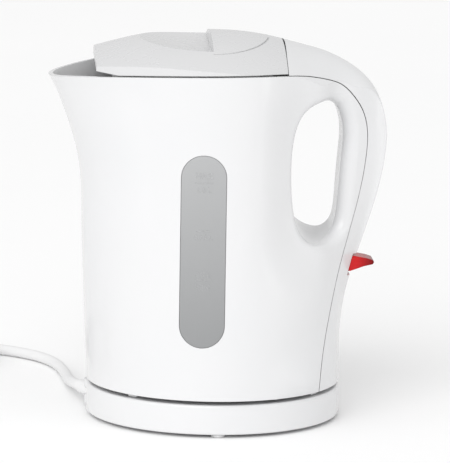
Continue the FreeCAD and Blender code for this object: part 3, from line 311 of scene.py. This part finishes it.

# %% [markdown]
# The switch is clear red plastic, lit from inside when the kettle is on. Red that lets a little light
# through looks deep in the middle and brighter at thin edges, so the shader is partly see-through, and
# a ramp along the lever paints its outer tip darker, as painted shade in the colour.

# %% red switch plastic
clear_red, red_tree, red_shader = principled("clear_red")
lever_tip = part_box("switch_lever")[1].x
tip_painted_shade_stretch = 0.009
outwards = share_along(red_tree, "X", lever_tip - tip_painted_shade_stretch, lever_tip)
# Painted shade: the lever's red darkens towards its outer tip.
two_tone(red_tree, red_shader, outwards, (0.62, 0.020, 0.022), (0.16, 0.006, 0.008))
red_shader.inputs["Transmission Weight"].default_value = 0.10
red_shader.inputs["IOR"].default_value = 1.49
red_shader.inputs["Specular IOR Level"].default_value = 0.12
ripple = noise(red_tree, 300.0)
red_tree.links.new(span(red_tree, ripple.outputs["Fac"], 0.12, 0.22), red_shader.inputs["Roughness"])
relief(red_tree, red_shader, ripple.outputs["Fac"], 0.05, 0.0001, 0.0005)
print("switch plastic made")

# %% [markdown]
# The metal pieces are inside: the brushed steel floor of the jug, the plated screws and hinge pieces,
# and the brass contacts of the connector. Brushing is a fine noise stretched in one direction. It is a
# second node group, because steel, plating and brass all take it with their own strength.

# %% brushed group and metals
brushed, brush_in, brush_out = new_group(
    "brushed_lines",
    [("Roughness", "NodeSocketFloat", 0.25), ("Spread", "NodeSocketFloat", 0.2)],
    [("Roughness", "NodeSocketFloat"), ("Height", "NodeSocketFloat")],
)
brush_place = brushed.nodes.new("ShaderNodeTexCoord")
stretch = brushed.nodes.new("ShaderNodeMapping")
stretch.inputs["Scale"].default_value = (40.0, 1600.0, 1600.0)
lines = brushed.nodes.new("ShaderNodeTexNoise")
lines.inputs["Scale"].default_value = 1.0
brushed.links.new(brush_place.outputs["Object"], stretch.inputs["Vector"])
brushed.links.new(stretch.outputs["Vector"], lines.inputs["Vector"])
scatter = brushed.nodes.new("ShaderNodeMath")
scatter.operation = "MULTIPLY_ADD"
brushed.links.new(lines.outputs["Fac"], scatter.inputs[0])
brushed.links.new(brush_in.outputs["Spread"], scatter.inputs[1])
brushed.links.new(brush_in.outputs["Roughness"], scatter.inputs[2])
brushed.links.new(scatter.outputs["Value"], brush_out.inputs["Roughness"])
brushed.links.new(lines.outputs["Fac"], brush_out.inputs["Height"])


def metal(name, light, deep, roughness, spread):
    material, tree, shader = principled(name)
    shader.inputs["Metallic"].default_value = 1.0
    finish = tree.nodes.new("ShaderNodeGroup")
    finish.node_tree = brushed
    finish.inputs["Roughness"].default_value = roughness
    finish.inputs["Spread"].default_value = spread
    tree.links.new(finish.outputs["Roughness"], shader.inputs["Roughness"])
    patches = noise(tree, 60.0)
    two_tone(tree, shader, patches.outputs["Fac"], deep, light)
    relief(tree, shader, finish.outputs["Height"], 0.08, 0.0001, 0.0002)
    return material


floor_steel = metal("floor_steel", (0.66, 0.66, 0.65), (0.56, 0.56, 0.55), 0.24, 0.2)
plating = metal("plating", (0.72, 0.72, 0.73), (0.62, 0.62, 0.64), 0.16, 0.12)
dull_alloy = metal("dull_alloy", (0.62, 0.63, 0.64), (0.52, 0.53, 0.54), 0.38, 0.2)
contact_brass = metal("contact_brass", (0.80, 0.60, 0.28), (0.66, 0.47, 0.20), 0.26, 0.15)
pin_plating = metal("pin_plating", (0.80, 0.74, 0.60), (0.70, 0.64, 0.50), 0.2, 0.12)

lamp_glass, lamp_tree, lamp_shader = principled("lamp_glass")
lamp_shader.inputs["Transmission Weight"].default_value = 0.7
haze = noise(lamp_tree, 500.0)
two_tone(lamp_tree, lamp_shader, haze.outputs["Fac"], (0.80, 0.42, 0.26), (0.92, 0.62, 0.45))
lamp_tree.links.new(span(lamp_tree, haze.outputs["Fac"], 0.05, 0.15), lamp_shader.inputs["Roughness"])
print("metals made")

# %% [markdown]
# Every piece of the solid model keeps its own mesh and only takes a finish. One list per finish says
# which pieces wear it, so a piece that was forgotten shows up at once in the count.

# %% finishes of the model's pieces
finishes = {
    white_gloss: ["jug_shell", "handle_cover", "base_shell", "bottom_cover"],
    lid_satin_painted_shade: ["lid_top"],
    pale_satin: ["lid_liner", "base_plate", "cord_clamp", "coil_tie"],
    dark_heatproof: ["base_post", "coupler_housing", "control_body", "switch_housing"],
    cord_jacket: ["cord_sleeve", "plug_body", "supply_cord", "cord_coil", "cord_tail"],
    soft_silicone: ["window_seal", "floor_seal", "steam_tube"],
    foot_rubber: ["base_feet"],
    wire_red: ["switch_wires"],
    frosted: ["water_window"],
    clear_red: ["switch_lever"],
    floor_steel: ["floor_plate", "dry_boil_discs", "steam_disc", "element_pins"],
    plating: [
        "base_screws", "clamp_screws", "bottom_screws", "clamp_ring", "hinge_bracket", "hinge_pin",
        "switch_pin",
    ],
    dull_alloy: ["heating_tube"],
    contact_brass: ["base_contacts", "coupler_contacts"],
    pin_plating: ["plug_pins"],
    lamp_glass: ["indicator_lamp"],
}


def wear(piece, material):
    piece.data.materials.clear()
    piece.data.materials.append(material)


finished = set()
for material, names in finishes.items():
    for name in names:
        wear(nodes[name], material)
        finished.add(name)
wear(cord_lead, cord_jacket)
lever = nodes["switch_lever"]
lever.modifiers.new("joined", "WELD").merge_threshold = 0.00001
rounding = lever.modifiers.new("rounding", "BEVEL")
rounding.width = 0.0014
rounding.segments = 3
rounding.limit_method = "ANGLE"
print("finished", len(finished), "of", len(nodes), "left", sorted(set(nodes) - finished))

# %% [markdown]
# The window carries faint raised level marks: short lines with litres beside them, and words for the
# highest and lowest filling. They could be a bump in the window's material, but real lettering stands
# out from the plastic and catches light at its edges. So each mark is a text or a thin bar with a
# little thickness, turned to lie on the curved window and sunk into it by half. The window shows
# through the marks, so they stay a shade paler than it at every height.

# %% level marks
faint_mark, _, mark_shader = plastic("faint_mark", (0.66, 0.66, 0.67), (0.60, 0.60, 0.61), 0.45, 0.1, 0.0)
mark_shader.inputs["Alpha"].default_value = 0.16
jug_radius = 0.0622
mark_middle_x = (window_low.x + window_high.x) / 2
face_turn = math.asin(mark_middle_x / jug_radius)


def on_window(piece, height, sink):
    """Stands a flat piece upright against the window, at a height."""
    reach = jug_radius - sink
    piece.matrix_world = (
        Matrix.Translation((reach * math.sin(face_turn), -reach * math.cos(face_turn), height))
        @ Matrix.Rotation(face_turn, 4, "Z")
        @ Matrix.Rotation(math.radians(90), 4, "X")
    )
    bpy.context.scene.collection.objects.link(piece)
    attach(piece, "kettle")
    wear(piece, faint_mark)


bar_section = ((-0.00028, -0.0004), (-0.0002, 0.0003), (0.0002, 0.0003), (0.00028, -0.0004))
word_size = 0.0040
litre_size = 0.0036


def mark_text(name, words, size, height):
    letters = bpy.data.curves.new(name, "FONT")
    letters.body = words
    letters.size = size
    letters.align_x = "CENTER"
    letters.align_y = "CENTER"
    letters.extrude = 0.00022
    letters.bevel_depth = 0.00006
    on_window(bpy.data.objects.new(name, letters), height, 0.0001)


def mark_line(name, length, height):
    """A bar that follows the window's curve."""
    shape = bmesh.new()
    sections = 8
    for i in range(sections + 1):
        x = length * (i / sections - 0.5)
        z = math.sqrt(jug_radius ** 2 - x * x) - jug_radius
        for y, lift in bar_section:
            shape.verts.new((x, y, z + lift))
    shape.verts.ensure_lookup_table()
    for i in range(sections):
        for j in range(4):
            a, b = 4 * i + j, 4 * i + (j + 1) % 4
            shape.faces.new([shape.verts[k] for k in (a, b, b + 4, a + 4)])
    shape.faces.new([shape.verts[k] for k in (3, 2, 1, 0)])
    shape.faces.new([shape.verts[4 * sections + k] for k in (0, 1, 2, 3)])
    bmesh.ops.recalc_face_normals(shape, faces=shape.faces)
    mesh = bpy.data.meshes.new(name)
    shape.to_mesh(mesh)
    shape.free()
    on_window(bpy.data.objects.new(name, mesh), height, 0.0)


mark_text("mark_max", "MAX", word_size, 0.1284)
mark_line("line_max", 0.0090, 0.1250)
mark_text("mark_litre", "1.0 L", litre_size, 0.1216)
mark_line("line_three_quarters", 0.0070, 0.1017)
mark_text("mark_three_quarters", "0.75 L", litre_size, 0.0985)
mark_text("mark_half", "0.5 L", litre_size, 0.0802)
mark_line("line_half", 0.0070, 0.0776)
mark_text("mark_min", "MIN", word_size, 0.0740)
print("marks on the window")

# %% [markdown]
# The studio is a wide pale floor under soft light. An even white world fills the shadows, a very wide
# front light from the left makes the jug's front brighter than the lid, and two upright soft boxes draw
# the faint long streaks down the jug. A near lamp would do for the front light, but it fades with
# distance and leaves the floor grey behind the kettle. A sun with a wide angle keeps the floor even.

# %% floor and lights
floor_mesh = bpy.data.meshes.new("floor")
reach = 12.0
corners = [(reach * x, reach * y, 0) for x, y in ((-1, -1), (1, -1), (1, 1), (-1, 1))]
floor_mesh.from_pydata(corners, [], [(0, 1, 2, 3)])
floor = bpy.data.objects.new("floor", floor_mesh)
floor.location.z = -0.0002
bpy.context.scene.collection.objects.link(floor)
floor_white, floor_tree, floor_shader = principled("floor_white")
paper = noise(floor_tree, 3.0)
two_tone(floor_tree, floor_shader, paper.outputs["Fac"], (0.94, 0.94, 0.94), (0.96, 0.96, 0.96))
floor_shader.inputs["Roughness"].default_value = 0.9
floor_shader.inputs["Specular IOR Level"].default_value = 0.1
floor_mesh.materials.append(floor_white)


def soft_box(name, place, target, width, length, power):
    lamp = bpy.data.lights.new(name, "AREA")
    lamp.shape = "RECTANGLE"
    lamp.size, lamp.size_y = width, length
    lamp.energy = power
    piece = bpy.data.objects.new(name, lamp)
    piece.location = place
    piece.rotation_euler = (Vector(target) - Vector(place)).to_track_quat("-Z", "Y").to_euler()
    bpy.context.scene.collection.objects.link(piece)


middle = (0.0, 0.0, 0.10)
soft_box("box_left", (-1.15, -0.62, 0.45), middle, 0.32, 1.0, 1.6)
soft_box("box_right", (1.05, -0.72, 0.45), middle, 0.30, 1.0, 1.2)
front = bpy.data.lights.new("front", "SUN")
front.energy = 1.35
front.angle = math.radians(50)
front_lamp = bpy.data.objects.new("front", front)
front_lamp.rotation_euler = Vector((0.30, 0.76, -0.58)).to_track_quat("-Z", "Y").to_euler()
bpy.context.scene.collection.objects.link(front_lamp)
world = bpy.data.worlds.new("studio")
world.use_nodes = True
world.node_tree.nodes["Background"].inputs["Color"].default_value = (1, 1, 1, 1)
world.node_tree.nodes["Background"].inputs["Strength"].default_value = 0.76
bpy.context.scene.world = world
bpy.context.scene.view_settings.view_transform = "Standard"
print("studio lit")

# %% final update
bpy.context.view_layer.update()
